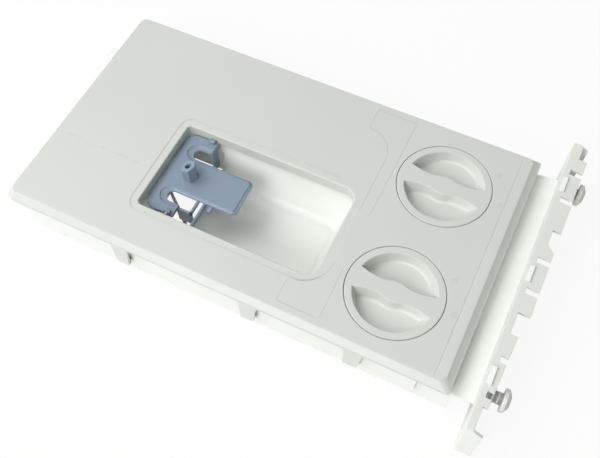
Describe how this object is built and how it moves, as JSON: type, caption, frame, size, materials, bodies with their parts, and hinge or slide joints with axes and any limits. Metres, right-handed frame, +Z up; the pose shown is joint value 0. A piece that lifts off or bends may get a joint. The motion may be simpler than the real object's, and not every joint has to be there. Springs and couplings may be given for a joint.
{
  "type": "detergent dispenser drawer",
  "caption": "Flat washing-machine dispenser drawer with two closed liquid tanks, round bayonet filler caps, an open powder bay with a hinged blue flap and a comb carrier at the front.",
  "frame": {"origin": "on the rest face under the middle of the cover's plan", "axes": "+X to the drawer's front, +Y to the larger tank's side, +Z up"},
  "size_m": [0.3829, 0.227, 0.051],
  "materials": {
    "tub_white": "satin moulded polypropylene",
    "cover_grey": "semi-gloss moulded",
    "cap_grey": "semi-gloss moulded",
    "flap_blue": "satin moulded",
    "stud_white": "satin moulded",
    "valve_plastic": "satin moulded",
    "seal_rubber": "matte",
    "spring_steel": "drawn wire"
  },
  "bodies": {
    "drawer": {"tank_body": "tub_white", "top_cover": "cover_grey", "cover_gasket": "seal_rubber", "fascia_stud_far": "stud_white", "fascia_stud_near": "stud_white", "detergent_valve_guide": "valve_plastic", "softener_valve_guide": "valve_plastic", "detergent_valve_spring": "spring_steel", "softener_valve_spring": "spring_steel"},
    "detergent_cap": {"detergent_cap": "cap_grey", "detergent_cap_seal": "seal_rubber"},
    "softener_cap": {"softener_cap": "cap_grey", "softener_cap_seal": "seal_rubber"},
    "release_flap": {"release_flap": "flap_blue"},
    "detergent_valve": {"detergent_valve_poppet": "valve_plastic", "detergent_valve_seal": "seal_rubber"},
    "softener_valve": {"softener_valve_poppet": "valve_plastic", "softener_valve_seal": "seal_rubber"}
  },
  "joints": [
    {"name": "detergent_cap_turn", "type": "hinge", "parent": "drawer", "child": "detergent_cap", "pos_m": [0.1125, 0.0447, 0.044], "axis": [0, 0, 1], "range_deg": [0, 36]},
    {"name": "softener_cap_turn", "type": "hinge", "parent": "drawer", "child": "softener_cap", "pos_m": [0.1125, -0.0465, 0.044], "axis": [0, 0, 1], "range_deg": [0, 36]},
    {"name": "flap_press", "type": "hinge", "parent": "drawer", "child": "release_flap", "pos_m": [-0.058, -0.02325, 0.0365], "axis": [0, 1, 0], "range_deg": [0, 12], "stiffness_Nm_per_rad": 0.05, "springref_deg": -5.73},
    {"name": "detergent_valve_push", "type": "slide", "parent": "drawer", "child": "detergent_valve", "axis": [1, 0, 0], "range_m": [0, 0.004], "stiffness_N_per_m": 400, "springref_m": -0.003, "deforming": ["detergent_valve_spring"]},
    {"name": "softener_valve_push", "type": "slide", "parent": "drawer", "child": "softener_valve", "axis": [1, 0, 0], "range_m": [0, 0.004], "stiffness_N_per_m": 400, "springref_m": -0.003, "deforming": ["softener_valve_spring"]}
  ]
}
